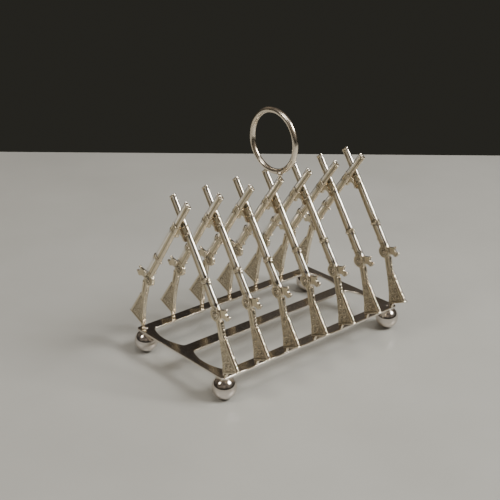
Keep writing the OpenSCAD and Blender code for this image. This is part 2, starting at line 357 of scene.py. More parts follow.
def add_plate(bm, outline, thickness):
    """A flat plate with the given outline."""
    sides = []
    for face_x in (-thickness / 2, thickness / 2):
        sides.append([bm.verts.new(in_space(p, face_x)) for p in outline])
    bm.faces.new(sides[0])
    bm.faces.new(reversed(sides[1]))
    count = len(outline)
    for i in range(count):
        j = (i + 1) % count
        bm.faces.new((sides[0][j], sides[0][i], sides[1][i], sides[1][j]))


def add_rod(bm, start, end, r_start, r_end):
    """A round rod between two points of the plane."""
    a, b = in_space(start), in_space(end)
    turn = (b - a).to_track_quat("Z", "Y").to_matrix().to_4x4()
    bmesh.ops.create_cone(
        bm, cap_ends=True, segments=ROD_SIDES, radius1=r_start, radius2=r_end,
        depth=(b - a).length, matrix=Matrix.Translation((a + b) / 2) @ turn,
    )


def add_disc(bm, middle, radius, thickness):
    """A round disc that lies in the plane."""
    turn = Matrix.Rotation(math.pi / 2, 4, "Y")
    bmesh.ops.create_cone(
        bm, cap_ends=True, segments=DISC_SIDES, radius1=radius, radius2=radius,
        depth=thickness, matrix=Matrix.Translation(in_space(middle)) @ turn,
    )


def add_ball(bm, middle, radius, x=0.0, stretch=(1, 1, 1)):
    """A ball, which may be stretched and may stand beside the plane."""
    scale = Matrix.Diagonal((*stretch, 1))
    bmesh.ops.create_icosphere(
        bm, subdivisions=2, radius=radius, matrix=Matrix.Translation(in_space(middle, x)) @ scale
    )


def melted(bm, voxel, smoothing=2):
    """Melts every shell in a bmesh into one closed skin, and returns it as a mesh."""
    bmesh.ops.recalc_face_normals(bm, faces=bm.faces)
    mesh = bpy.data.meshes.new("melted")
    bm.to_mesh(mesh)
    bm.free()
    holder = bpy.data.objects.new("holder", mesh)
    remesh = holder.modifiers.new("remesh", "REMESH")
    remesh.mode = "VOXEL"
    remesh.voxel_size = voxel
    relax = holder.modifiers.new("relax", "SMOOTH")
    relax.factor = 0.5
    relax.iterations = smoothing
    return evaluated(holder)


# %% [markdown]
# ## Rows of beads
# The wrist and the inner edge of each butt carry a row of small beads that were punched along them. Beads on
# a line are the simplest use of Geometry Nodes: sample a line, put a small ball on every point, and make the
# balls real. The same recipe serves every row, with its own spacing and size.

# %% Make the bead recipe
bead_recipe, given = new_recipe("bead row", Spacing=1.0, Bead_Radius=0.4)
path = add_node(bead_recipe, "GeometryNodeMeshToCurve", Mesh=given["Geometry"])
places = add_node(
    bead_recipe, "GeometryNodeCurveToPoints", {"mode": "LENGTH"},
    Curve=path.outputs[0], Length=given["Spacing"],
)
bead = add_node(bead_recipe, "GeometryNodeMeshIcoSphere", Radius=given["Bead Radius"], Subdivisions=2)
beads = add_node(
    bead_recipe, "GeometryNodeInstanceOnPoints",
    Points=places.outputs["Points"], Instance=bead.outputs["Mesh"],
)
end_recipe(bead_recipe, beads.outputs[0], stock_finish)
BEAD_CORNERS = 42


def add_bead_row(bm, points, spacing, radius, x=0.0):
    """Adds a row of beads along a line of points."""
    line = bpy.data.meshes.new("line")
    edges = [(i, i + 1) for i in range(len(points) - 1)]
    line.from_pydata([in_space(p, x) for p in points], edges, [])
    row = cook(bead_recipe, line, Spacing=spacing, Bead_Radius=radius)
    bm.from_mesh(row)
    print("row of", len(row.vertices) // BEAD_CORNERS, "beads")


# %% [markdown]
# ## The fore-end
# Below the barrel everything is one casting, from the muzzle down to the toe. Its upper half is a fore-end
# with a round underside, a thinner rod that runs on to the muzzle, a long nose cap, a middle band with a
# sight and a swivel, and a collar at the muzzle. Each is laid out as a flat plate with rods along its edges.

# %% Lay out the fore-end and its bands
NOSE = 46.0
FORE_THICK, RIB_THICK = 2.0, 1.5
FORE_ROD, RAMROD = 1.15, 0.98
RAMROD_DEPTH = 2.9
stock = bmesh.new()
fore_lock = on_barrel(3, -3.78)
fore_nose = on_barrel(NOSE + 1, -2.78)
add_rod(stock, fore_lock, fore_nose, FORE_ROD, FORE_ROD)
add_plate(stock, [on_barrel(-1, 0.6), on_barrel(NOSE + 1, 0.5), fore_nose, fore_lock], FORE_THICK)
rod_nose = on_barrel(NOSE + 1, -RAMROD_DEPTH)
add_rod(stock, rod_nose, on_barrel(BARREL_LENGTH - 0.1, -RAMROD_DEPTH), RAMROD, RAMROD)


def band_edge(start, end, depth):
    """The outline of a stretch of barrel and stock."""
    return [on_barrel(start), on_barrel(end), on_barrel(end, -depth), on_barrel(start, -depth)]


add_plate(stock, band_edge(NOSE, BARREL_LENGTH - 0.3, RAMROD_DEPTH), RIB_THICK)
BANDS = {
    "nose cap": (NOSE, NOSE + 6, 2.3, 1.36, 1.3, 2.75),
    "nose cap lip": (NOSE, NOSE + 0.9, 2.7, 1.55, 1.5, 2.75),
    "nose cap end": (NOSE + 5.2, NOSE + 6, 2.6, 1.5, 1.42, 2.75),
    "muzzle collar": (BARREL_LENGTH - 1.3, BARREL_LENGTH - 0.12, 2.3, 1.25, 1.15, 2.8),
    "middle band": (17, 19.5, 2.8, 1.62, 1.5, 3.15),
    "middle band bead": (17.9, 18.6, 3.1, 1.8, 1.66, 3.15),
}
for start, end, thickness, r_top, r_low, depth in BANDS.values():
    add_plate(stock, band_edge(start, end, depth), thickness)
    add_rod(stock, on_barrel(start), on_barrel(end), r_top, r_top)
    add_rod(stock, on_barrel(start, -depth), on_barrel(end, -depth), r_low, r_low)
sight = [on_barrel(14.4, 1), on_barrel(19.4, 1), on_barrel(19, 2.3), on_barrel(15, 1.9)]
add_plate(stock, sight, RIB_THICK)
for swivel, radius in ((on_barrel(18.2, -5.2), 0.75), (on_barrel(7.5, -5.3), 0.7)):
    add_ball(stock, swivel, radius)
print("fore-end with", len(BANDS), "bands:", len(stock.verts), "vertices")

# %% [markdown]
# ## The lock, the hammer and the guard
# The lock is a thick plate under the breech, with a flat round guard below it. Its hammer has two horns with
# a round notch between them. The notch is an arc of a few points in the hammer's outline, and a rod with a
# ball on its end rounds each horn.

# %% Add the lock, the hammer and the guard
GUARD_MIDDLE = np.array([31.5, 52.0])
GUARD_RADIUS = 4.2
BUTT_THICK = 2.4
HAMMER_THICK = 1.4
NOTCH_MIDDLE, NOTCH_RADIUS, NOTCH_STEPS = on_barrel(-4.3, 7.8), 2.05, 6
NOTCH_START, NOTCH_SWEEP = 200, 140
lock_edge = [on_barrel(3.4, 0.9), on_barrel(3.4, -4), (31, 50.5), (33.4, 47.2), (36.6, 49), (36, 53)]
add_plate(stock, lock_edge + [on_barrel(-1, 1.4)], BUTT_THICK)
add_rod(stock, on_barrel(-1.6), on_barrel(1.2), 1.75, 1.75)
upper_horn = [(-0.4, 0.8), (-0.6, 3.2), (-1.6, 5.2), (-2, 6.9), (-2.7, 6.6)]
lower_horn = [(-7, 7.0), (-8.3, 5.2), (-8, 3.6), (-5.8, 2.4), (-5.4, 0.6)]
hammer_edge = [on_barrel(*p) for p in upper_horn]
for k in range(NOTCH_STEPS + 1):
    bend = math.radians(NOTCH_START + NOTCH_SWEEP * k / NOTCH_STEPS)
    towards = -math.cos(bend) * up_barrel + math.sin(bend) * off_barrel
    hammer_edge.append(NOTCH_MIDDLE + NOTCH_RADIUS * towards)
hammer_edge += [on_barrel(*p) for p in lower_horn]
add_plate(stock, hammer_edge, HAMMER_THICK)
HORN_TIPS = (on_barrel(-2.4, 6.9), on_barrel(-6.9, 7.0))
HORN_ROOTS = (on_barrel(-2.6, 5.0), on_barrel(-5.6, 5.0))
for tip in HORN_TIPS:
    add_ball(stock, tip, 0.98)
for root, tip in zip(HORN_ROOTS, HORN_TIPS):
    add_rod(stock, root, tip, 0.75, 0.8)
add_ball(stock, on_barrel(0.6, 0.4), 0.85, -1.3)
add_disc(stock, on_barrel(-2.6, -1.2), 0.75, BUTT_THICK + 0.8)
add_disc(stock, on_barrel(1.9, -2.3), 0.5, BUTT_THICK + 0.5)
add_disc(stock, GUARD_MIDDLE, GUARD_RADIUS, 2.0)
add_disc(stock, GUARD_MIDDLE, 0.8, 2.7)
print("with the lock:", len(stock.verts), "vertices")

# %% [markdown]
# ## The wrist, the butt and the foot
# The butt is a thin triangular plate with a round comb along its back, a plate across its end, and rows of
# beads. It stands on its toe, which a small wedge and a drop of solder hold to the rail. With these last
# shells in place the whole stock is melted into one skin.

# %% Add the wrist, the butt and the foot
BUTT_END = 14.1
BUTT_TILT = math.radians(23.5)
BUTT_PLATE = 0.9
toe = np.array([TOE_OUT, BASE_TOP + 1.8])
along_end = np.array([math.cos(BUTT_TILT), math.sin(BUTT_TILT)])
up_end = np.array([-math.sin(BUTT_TILT), math.cos(BUTT_TILT)])
heel = toe + BUTT_END * along_end
comb_nose = np.array([41.4, 39.2])
wrist_inside = [(33, 47.6), (34.6, 43.2), (36.1, 38.2), (37.5, 33), (39, 26.3)]
comb_heel = heel - 1.3 * along_end + 0.2 * up_end
comb_end = comb_nose - np.array([0.9, 0.3])
wrist_outside = [(40.0, 39.9), (39.2, 42.2), (38.2, 45.2), (37.1, 48.2), (36.1, 50.6)]
add_plate(stock, [toe, comb_heel, comb_end] + wrist_outside + wrist_inside, BUTT_THICK)
add_rod(stock, comb_heel, comb_end, 1.5, 1.42)
add_ball(stock, comb_end, 1.47)
add_rod(stock, (38.7, 40.6), (36.2, 49.4), 1.4, 1.6)
add_rod(stock, (36.3, 40.5), (34.4, 47.4), 1.28, 1.3)
end_plate = [toe, heel, heel + BUTT_PLATE * up_end, toe + BUTT_PLATE * up_end]
add_plate(stock, end_plate, BUTT_THICK + 0.5)
add_bead_row(stock, [(40.0, 40.9), (38.0, 47.0)], 2.1, 0.62)
inner_edge = [toe + 1.6 * up_end + 0.35 * along_end]
inner_edge += [np.array(p) + (0.25, 0) for p in wrist_inside[:0:-1]]
for beside in (BUTT_THICK / 2 - 0.1, -BUTT_THICK / 2 + 0.1):
    add_bead_row(stock, inner_edge, 0.9, 0.34, beside)
foot_wedge = [(0.05, 0), (frame_high.y - 0.2 - TOE_OUT, 0), (3, 3.4), (0.2, 2.4)]
add_plate(stock, [(TOE_OUT + out, BASE_TOP + up) for out, up in foot_wedge], FORE_THICK)
add_ball(stock, (TOE_OUT + 1.1, BASE_TOP + 0.1), 1.25, stretch=(1.1, 1.1, 0.75))
VOXEL = 0.22
stock_mesh = melted(stock, VOXEL)
print("melted stock:", len(stock_mesh.polygons), "faces")

# %% [markdown]
# ## Chased scrolls
# A chaser worked the flat of each butt with a hammer and small punches: spiral scrolls stand up from a ground
# that was matted with dots. A bump could fake this, but real relief catches the light at its edges, so it is
# made in the mesh: each point of the flat rises by how near it lies to a scroll line.

# %% Helpers that draw and raise scrolls
FAR_AWAY = 1e9
EDGE_FADE = 0.3


def spiral(middle, radius, turns, start, hand=1):
    """Points of a spiral scroll that opens from its middle."""
    t = np.linspace(0.08, 1, int(26 * turns))
    angle = start + hand * 2 * math.pi * turns * (t - 1)
    return np.asarray(middle) + radius * t[:, None] * np.stack([np.cos(angle), np.sin(angle)], 1)


def ridge_height(points, lines, width, height):
    """How high each point of the plane stands on ridges that follow the lines."""
    nearest = np.full(len(points), FAR_AWAY)
    for line in lines:
        gap = points[:, None, :] - line[None, :, :]
        nearest = np.minimum(nearest, np.sqrt((gap ** 2).sum(2)).min(1))
    return height * np.clip(1 - (nearest / width) ** 2, 0, 1)


def inside(points, outline, margin):
    """1 for points inside an outline by more than a margin, falling to 0 at its edge."""
    corners = np.array([np.asarray(p, float) for p in outline])
    ends = np.roll(corners, -1, 0)
    crossings = np.zeros(len(points), int)
    nearest = np.full(len(points), FAR_AWAY)
    for a, b in zip(corners, ends):
        spans = (a[1] > points[:, 1]) != (b[1] > points[:, 1])
        rise = np.where(b[1] == a[1], 1e-9, b[1] - a[1])
        crossings += spans & (points[:, 0] < (b[0] - a[0]) * (points[:, 1] - a[1]) / rise + a[0])
        share = np.clip(((points - a) @ (b - a)) / ((b - a) @ (b - a)), 0, 1)
        nearest = np.minimum(nearest, np.linalg.norm(points - (a + share[:, None] * (b - a)), axis=1))
    return np.where(crossings % 2 == 1, np.clip((nearest - margin) / EDGE_FADE, 0, 1), 0)


# %% [markdown]
# ## Where the scrolls lie
# A big scroll fills the wide end of the butt, smaller ones follow it up to the wrist, and one more curls
# round the guard. These are only lines so far.

# %% Draw the scrolls
scrolls = [
    spiral((47.0, 24.8), 3.3, 2.0, 2.6), spiral((43.0, 23.0), 2.1, 1.6, 0.6, -1),
    spiral((44.3, 29.6), 2.5, 1.8, 4.2, -1), spiral((41.2, 27.6), 1.5, 1.3, 5.0),
    spiral((42.4, 34.0), 1.7, 1.5, 1.2), spiral((40.3, 31.6), 1.1, 1.2, 3.6, -1),
    spiral((40.0, 36.6), 1.2, 1.3, 0.2), spiral((50.2, 24.6), 1.0, 1.1, 1.0, -1),
]
butt_panel = [toe + 1.2 * up_end, heel + 1.4 * up_end - 1.2 * along_end, comb_nose - (1.9, 0.6)]
butt_panel += wrist_inside[2:]
guard_scroll = [spiral(GUARD_MIDDLE, 2.7, 2.2, 0.5)]
print("scroll lines hold", sum(len(line) for line in scrolls), "points")

# %% [markdown]
# ## Marks on the mesh
# A point attribute is a number that every point of a mesh carries. The finish of the castings needs two: how
# far a point stands out from its neighbours, because polish reaches it first, and whether it lies on a
# narrow edge, because the maker burnished those and left the flats as they were cast.

# %% Helpers that mark a mesh
EDGE_LIMIT, EDGE_BLUR = 0.80, 0.30
RUB_REACH, RUB_DEPTH = 2, 0.16


def positions(mesh):
    """Every point of a mesh, as rows of three numbers."""
    co = np.empty(len(mesh.vertices) * 3, np.float32)
    mesh.vertices.foreach_get("co", co)
    return co.reshape(-1, 3).astype(float)


def vertex_normals(mesh):
    """The direction that the skin faces at every point."""
    normals = np.empty(len(mesh.vertices) * 3, np.float32)
    mesh.vertex_normals.foreach_get("vector", normals)
    return normals.reshape(-1, 3).astype(float)


def store(mesh, name, values):
    """Stores one number for each point of a mesh, under a name that a finish or a recipe can read."""
    mesh.attributes.new(name, "FLOAT", "POINT").data.foreach_set("value", np.asarray(values, np.float32))


def mark_burnished(mesh):
    """Stores 1 on the narrow edges of a flat casting, falling to 0 on its flat sides."""
    sideways = np.abs(vertex_normals(mesh)[:, 0])
    store(mesh, "burnished", np.clip((EDGE_LIMIT - sideways) / EDGE_BLUR, 0, 1))


def mark_rubbed(mesh):
    """Stores how much each point stands out from its neighbours: 0.5 is flat, more is a ridge."""
    edges = np.empty(len(mesh.edges) * 2, np.int32)
    mesh.edges.foreach_get("vertices", edges)
    a, b = edges.reshape(-1, 2).T
    degree = np.bincount(np.concatenate([a, b]), minlength=len(mesh.vertices))[:, None].clip(1)

    def averaged(field):
        total = np.zeros_like(field)
        np.add.at(total, a, field[b])
        np.add.at(total, b, field[a])
        return total / degree

    points = positions(mesh)
    around = points
    for _ in range(RUB_REACH):
        around = averaged(around)
    out = ((points - around) * vertex_normals(mesh)).sum(1, keepdims=True)
    out = (out + averaged(out)) / 2
    store(mesh, "rubbed", np.clip(0.5 + out[:, 0] / RUB_DEPTH, 0, 1))


def move_points(mesh, points):
    """Puts the points of a mesh in new places."""
    mesh.vertices.foreach_set("co", points.astype(np.float32).ravel())
    mesh.update()


# %% [markdown]
# ## Raising the relief
# Only the flat sides may rise: a point belongs to the panel if it lies inside the butt's outline and its skin
# faces sideways. What stays low inside the panel is marked "chased", for the matting punch that comes next.

# %% Raise the scrolls
GROUND_LIMIT = 0.05
body = positions(stock_mesh)
facing = vertex_normals(stock_mesh)[:, 0]
on_flat = np.abs(facing) > 0.8
plane = np.stack([-body[:, 1], body[:, 2]], 1)
panel = inside(plane, butt_panel, 0.1) * on_flat
on_guard = (np.linalg.norm(plane - GUARD_MIDDLE, axis=1) < GUARD_RADIUS - 0.5) * on_flat
rise = panel * ridge_height(plane, scrolls, 0.42, 0.26)
rise += on_guard * ridge_height(plane, guard_scroll, 0.4, 0.3)
body[:, 0] += np.sign(facing) * rise
move_points(stock_mesh, body)
store(stock_mesh, "chased", panel * (rise < GROUND_LIMIT))
print("chased", int(panel.sum()), "points of", len(body))

# %% [markdown]
# ## The matting punch
# Between the scrolls the ground was beaten with a dotted punch so that it looks dull against the bright
# ridges. A Voronoi texture gives each blow its own little cell. The same recipe also dents the burnished
# edges a little with a slow noise, because hand work leaves no edge quite straight. It moves points along
# their normals, only where the marks say so, and its seed is fixed so that every run gives the same blows.

# %% Make the matting recipe
matting, given = new_recipe("matting punch", Depth=0.12, Blows=1.5, Dents=0.3, Seed=3)


def on_mark(name):
    """Reads a mark inside the recipe."""
    node = add_node(matting, "GeometryNodeInputNamedAttribute", {"data_type": "FLOAT"}, Name=name)
    return node.outputs["Attribute"]


cells = add_node(
    matting, "ShaderNodeTexVoronoi", {"voronoi_dimensions": "4D"}, W=given["Seed"], Scale=given["Blows"]
).outputs["Distance"]
blow = worked(matting, "ADD", worked(matting, "MULTIPLY", cells, 1.4), -0.6)
blow = worked(matting, "MULTIPLY", worked(matting, "MULTIPLY", blow, given["Depth"]), on_mark("chased"))
uneven = add_node(
    matting, "ShaderNodeTexNoise", {"noise_dimensions": "4D"}, W=given["Seed"], Scale=0.75, Detail=1.0
).outputs["Fac"]
dip = worked(matting, "MULTIPLY", worked(matting, "SUBTRACT", uneven, 0.62), given["Dents"])
dip = worked(matting, "MULTIPLY", dip, on_mark("burnished"))
normal = add_node(matting, "GeometryNodeInputNormal").outputs[0]
both = worked(matting, "ADD", blow, dip)
push = add_node(matting, "ShaderNodeVectorMath", {"operation": "SCALE"}, i0=normal, Scale=both)
moved = add_node(
    matting, "GeometryNodeSetPosition", Geometry=given["Geometry"], Offset=push.outputs[0]
)
end_recipe(matting, moved.outputs[0], stock_finish)

# %% [markdown]
# ## One finished casting
# The rubbed mark comes after the punch, because it is measured on the skin as the punch leaves it: the rims
# of the dots are rubbed bright and their bottoms stay dark.

# %% Beat the ground and mark the ridges
mark_burnished(stock_mesh)
stock_mesh = cook(matting, stock_mesh, Depth=0.16, Blows=1.7, Dents=0.5, Seed=3)
mark_rubbed(stock_mesh)
print("matted stock:", len(stock_mesh.polygons), "faces")

# %% [markdown]
# ## A lathe
# Turned parts are made as on a lathe: a profile of distances along the axis and radii is carried round in
# rings. Spin or Screw would do it too, but with our own rings each end closes in one point and no doubled
# seam is left. The rings lie close together, because a mirror finish shows every flat.

# %% Helper for a lathe
def turned(profile, segments, base, axis):
    """A closed lathe mesh from (distance along the axis, radius) pairs that start and end on the axis."""
    base, axis = Vector(base), Vector(axis).normalized()
    side = axis.orthogonal().normalized()
    other = axis.cross(side)
    bm = bmesh.new()
    rings = []
    for along, radius in ((float(a), float(r)) for a, r in profile):
        centre = base + along * axis
        if radius == 0:
            rings.append([bm.verts.new(centre)])
            continue
        ring = []
        for k in range(segments):
            turn = 2 * math.pi * k / segments
            ring.append(bm.verts.new(centre + radius * (math.cos(turn) * side + math.sin(turn) * other)))
        rings.append(ring)
    for low, high in zip(rings, rings[1:]):
        for k in range(segments):
            n = (k + 1) % segments
            if len(low) == 1:
                bm.faces.new((low[0], high[n], high[k]))
            elif len(high) == 1:
                bm.faces.new((low[k], low[n], high[0]))
            else:
                bm.faces.new((low[k], low[n], high[n], high[k]))
    bmesh.ops.recalc_face_normals(bm, faces=bm.faces)
    mesh = bpy.data.meshes.new("turned")
    bm.to_mesh(mesh)
    bm.free()
    mesh.shade_smooth()
    return mesh


# %% [markdown]
# ## The barrel
# The barrel has a breech ring, a slow taper, a thicker muzzle with a rounded lip, and a shallow bore. Beside
# each band and in front of the lock the mesh marks a dark patch: partly old polish gone to tarnish, partly
# painted shade standing in for the shadow that falls in those corners.

# %% Turn the barrel
BREECH_RADIUS, MUZZLE_RADIUS, BORE_RADIUS, BORE_DEPTH = 1.5, 1.08, 0.62, 2.0
RING_STEP = 0.75
BARREL_SIDES = 32


def barrel_radius(along):
    """The radius of the plain, tapering part of the barrel."""
    return BREECH_RADIUS + (MUZZLE_RADIUS - BREECH_RADIUS) * along / BARREL_LENGTH


breech_ring = [(0, 0), (0, 1.4), (0.2, 1.62), (1.0, 1.62), (1.2, 1.5)]
taper = [(x, barrel_radius(x)) for x in np.arange(1.5, BARREL_LENGTH - 2.2, RING_STEP)]
muzzle = [(2.0, MUZZLE_RADIUS), (1.8, 1.16), (0.5, 1.17), (0.2, 1.12), (0.04, 1.02), (0, 0.9)]
bore = [(0.03, 0.72), (0.12, 0.64), (0.3, BORE_RADIUS), (1.9, BORE_RADIUS)]
bore += [(BORE_DEPTH, 0.5), (BORE_DEPTH, 0)]
barrel_end = [(BARREL_LENGTH - back, radius) for back, radius in muzzle + bore]
barrel_mesh = turned(breech_ring + taper + barrel_end, BARREL_SIDES, in_space(BREECH), in_space(up_barrel))
along = (positions(barrel_mesh) - np.array(in_space(BREECH))) @ np.array(in_space(up_barrel))
tarnish_and_shade = np.zeros(len(along))
# Painted shade with some tarnish: dark patches beside each band and in front of the lock, where shade falls.
for place, reach in ((3.0, 1.6), (16.4, 1.3), (20.2, 1.4), (45.2, 1.2), (52.6, 1.0)):
    tarnish_and_shade = np.maximum(tarnish_and_shade, np.clip(1.3 - np.abs(along - place) / reach, 0, 1))
store(barrel_mesh, "tarnish_and_shade", tarnish_and_shade)
barrel_mesh.materials.append(barrel_finish)
print("barrel:", len(barrel_mesh.polygons), "faces")

# %% [markdown]
# ## Standing a rifle on its rail
# Every rifle on the rack is the same casting. A recipe stands one on its rail: it leans the rifle about its
# toe until the two barrels of a pair pass each other, moves it to its pair and, for the rear rail, turns it
# round. It also scales millimetres to metres, so its result already lies where it belongs.

# %% Make the standing recipe
standing, given = new_recipe("stand on rail", Pair_Offset=0.0, Lean=0.0, Turn=0.0, Finish=stock_finish)


def moved_by(geometry, shift=(0, 0, 0), turn=(0, 0, 0), size=1.0):
    """One move in the recipe. A shift or a turn is a vector or a link."""
    return add_node(
        standing, "GeometryNodeTransform",
        Geometry=geometry, Translation=shift, Rotation=turn, Scale=(size, size, size),
    ).outputs[0]


def as_vector(**parts):
    """A vector whose X, Y or Z is a number or a link."""
    return add_node(standing, "ShaderNodeCombineXYZ", **parts).outputs[0]


down = moved_by(given["Geometry"], shift=(0, 0, -BASE_TOP))
leaning = moved_by(down, turn=as_vector(Y=given["Lean"]))
placed = moved_by(leaning, shift=as_vector(X=given["Pair Offset"], Z=BASE_TOP))
turned_round = moved_by(placed, turn=as_vector(Z=given["Turn"]), size=MM)
end_recipe(standing, turned_round, given["Finish"])

# %% [markdown]
# ## Fourteen rifles in seven pairs
# The recipe runs twice for each rifle, once for its barrel and once for its stock, which have different
# finishes. The underside of each foot is pressed flat on the rail, because leaning tips it a little.

# %% Stand the rifles on their rails
PARTS = {
    "barrel": (barrel_mesh, barrel_finish, "polished_plate"),
    "stock": (stock_mesh, stock_finish, "cast_plate"),
}
for row, turn in ((FRONT, 0.0), (REAR, math.pi)):
    for node_name, middle in zip(row, PAIR_MIDDLES):
        offset = (middle if turn == 0 else -middle) - TOE_SHIFT
        for part, (mesh, finish, slot) in PARTS.items():
            stood = cook(standing, mesh.copy(), Pair_Offset=offset, Lean=LEAN, Turn=turn, Finish=finish)
            if part == "stock":
                level = positions(stood)
                level[:, 2] = np.maximum(level[:, 2], BASE_TOP * MM)
                move_points(stood, level)
            finished(node_name.replace("rifle", part), stood, slot, node_name)
print("pairs of rifles on the rails:", len(PAIR_MIDDLES))

# %% [markdown]
# ## The ties
# Under each crossing a small web holds the two stocks together. It fills the corner between them and its
# lower edge is an arch. Solder ran into it, so its edges are soft: a triangle with an arch cut into it is
# melted like the stocks, together with the bead at the top of its arch.

# %% Make the seven ties
TIE_HEIGHT = 88.4
TIE_HALF, TIE_RISE, TIE_THICK = 5.4, 7.6, 2.2
ARCH = 2.9
FINE_VOXEL = 0.2
tie = bmesh.new()
web = [(TIE_HALF, TIE_HEIGHT), (0, TIE_HEIGHT + TIE_RISE), (-TIE_HALF, TIE_HEIGHT)]
web += [(ARCH * math.cos(a), TIE_HEIGHT + ARCH * math.sin(a)) for a in np.linspace(math.pi, 0, 17)]
add_plate(tie, web, TIE_THICK)
add_ball(tie, (0, TIE_HEIGHT + ARCH), 0.7)
tie_mesh = melted(tie, FINE_VOXEL)
tie_mesh.materials.append(stock_finish)
tie_mesh.shade_smooth()
mark_rubbed(tie_mesh)
mark_burnished(tie_mesh)
for i, middle in enumerate(PAIR_MIDDLES, 1):
    copy = tie_mesh.copy()
    copy.transform(Matrix.Scale(MM, 4) @ Matrix.Translation((middle, 0, 0)))
    finished("web_%d" % i, copy, "cast_plate", "tie_%d" % i)
print("tie:", len(tie_mesh.polygons), "faces")

# %% [markdown]
# ## The ring handle
# The handle is a piece of round wire bent into a ring and soldered on the two middle muzzles. In Geometry
# Nodes a circle carries a smaller circle along it, and a little noise in its path keeps it from looking
# machined: it was bent by hand.

# %% Bend the ring
ring_low, ring_high = (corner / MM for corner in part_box("ring_handle"))
WIRE_RADIUS = 1.7
RING_RADIUS = (ring_high.y - ring_low.y) / 2 - WIRE_RADIUS
RING_HEIGHT = ring_high.z - RING_RADIUS - WIRE_RADIUS
bending, given = new_recipe("bent ring", Ring_Radius=18.9, Wire_Radius=1.7, Unevenness=0.15, Height=133.6)
hoop = add_node(bending, "GeometryNodeCurvePrimitiveCircle", Resolution=160, Radius=given["Ring Radius"])
wobble = add_node(bending, "ShaderNodeTexNoise", Scale=0.12, Detail=1.0).outputs["Color"]
centred = add_node(
    bending, "ShaderNodeVectorMath", {"operation": "SUBTRACT"}, i0=wobble, i1=(0.5, 0.5, 0.5)
).outputs[0]
amount = add_node(
    bending, "ShaderNodeVectorMath", {"operation": "SCALE"}, i0=centred, Scale=given["Unevenness"]
)
bent = add_node(bending, "GeometryNodeSetPosition", Geometry=hoop.outputs[0], Offset=amount.outputs[0])
wire = add_node(bending, "GeometryNodeCurvePrimitiveCircle", Resolution=32, Radius=given["Wire Radius"])
tube = add_node(bending, "GeometryNodeCurveToMesh", Curve=bent.outputs[0], Profile_Curve=wire.outputs[0])
lift = add_node(bending, "ShaderNodeCombineXYZ", Z=given["Height"])
upright = add_node(
    bending, "GeometryNodeTransform",
    Geometry=tube.outputs[0], Translation=lift.outputs[0], Rotation=(0, math.pi / 2, 0),
)
end_recipe(bending, upright.outputs[0], ring_finish)
ring_mesh = cook(
    bending, bpy.data.meshes.new("empty"),
    Ring_Radius=RING_RADIUS, Wire_Radius=WIRE_RADIUS, Unevenness=0.3, Height=RING_HEIGHT,
)
ring_mesh.transform(Matrix.Scale(MM, 4))
finished("ring", ring_mesh, "polished_plate", "ring_handle")
print("ring:", len(ring_mesh.polygons), "faces, radius", round(RING_RADIUS, 2))

# %% [markdown]
# ## The solder under the ring
# Solder fills the corner between the ring and each of the two middle muzzles. A drop is a soft lump, so two
# stretched balls for each muzzle are melted together and smoothed a little more than the castings are.

# %% Add the solder
MUZZLE_DROP = ((7.5, 114.7), 1.75, 1.3, (1.0, 1.25, 1.0))
RING_DROP = ((6.3, 115.7), 1.5, 0.7, (0.9, 1.4, 0.8))
SOLDER_SMOOTHING = 4
solder = bmesh.new()
for side in (-1, 1):
    for (out, up), radius, beside, stretch in (MUZZLE_DROP, RING_DROP):
        add_ball(solder, (-side * out, up), radius, side * beside, stretch)
solder_mesh = melted(solder, FINE_VOXEL, SOLDER_SMOOTHING)
solder_mesh.transform(Matrix.Scale(MM, 4))
solder_mesh.materials.append(ring_finish)
solder_mesh.shade_smooth()
finished("ring_solder", solder_mesh, "polished_plate", "ring_handle")
print("solder:", len(solder_mesh.polygons), "faces")

# %% [markdown]
# ## The outline of the base frame
# The frame was sawn from flat plate: two long rails, a middle rail and two end strips, with bowed openings
# between them. Its outlines are straight lines and arcs, so a helper gives the points of an arc and the
# straight lines follow from joining the arcs up.

# %% Outline the frame
RAIL, CENTRE_RAIL, END_STRIP, END_BOW = 8.0, 9.0, 8.6, 3.8
INNER_CORNER, OUTER_CORNER = 2.0, 2.0
CORNER_STEPS, INNER_STEPS, BOW_STEPS = 8, 6, 24


def arc(middle, radius, start, end, steps):
    """Points along an arc between two angles in degrees."""
    turns = np.linspace(math.radians(start), math.radians(end), steps + 1)
    return [(middle[0] + radius * math.cos(t), middle[1] + radius * math.sin(t)) for t in turns]


def frame_edge():
    """The outer outline: a rectangle with rounded corners."""
    x, y = frame_high.x - OUTER_CORNER, frame_high.y - OUTER_CORNER
    corners = [(x, y, 0), (-x, y, 90), (-x, -y, 180), (x, -y, 270)]
    return [p for cx, cy, turn in corners for p in arc((cx, cy), OUTER_CORNER, turn, turn + 90, CORNER_STEPS)]


def opening_edge(side):
    """The outline of one opening: a long rectangle with bowed ends and rounded corners."""
    half = (frame_high.y - RAIL - CENTRE_RAIL / 2) / 2
    middle = CENTRE_RAIL / 2 + half
    bow_radius = (half ** 2 + END_BOW ** 2) / (2 * END_BOW)
    bow_x = frame_high.x - END_STRIP + END_BOW - bow_radius
    reach = bow_radius - INNER_CORNER
    turn = math.degrees(math.asin((half - INNER_CORNER) / reach))
    corner_x = bow_x + reach * math.cos(math.radians(turn))
    low, high = middle - half + INNER_CORNER, middle + half - INNER_CORNER
    edge = arc((corner_x, high), INNER_CORNER, turn, 90, INNER_STEPS)
    edge += arc((-corner_x, high), INNER_CORNER, 90, 180 - turn, INNER_STEPS)
    edge += arc((-bow_x, middle), bow_radius, 180 - turn, 180 + turn, BOW_STEPS)[1:-1]
    edge += arc((-corner_x, low), INNER_CORNER, 180 + turn, 270, INNER_STEPS)
    edge += arc((corner_x, low), INNER_CORNER, 270, 360 - turn, INNER_STEPS)
    edge += arc((bow_x, middle), bow_radius, -turn, turn, BOW_STEPS)[1:-1]
    return [(side * x, side * y) for x, y in edge]


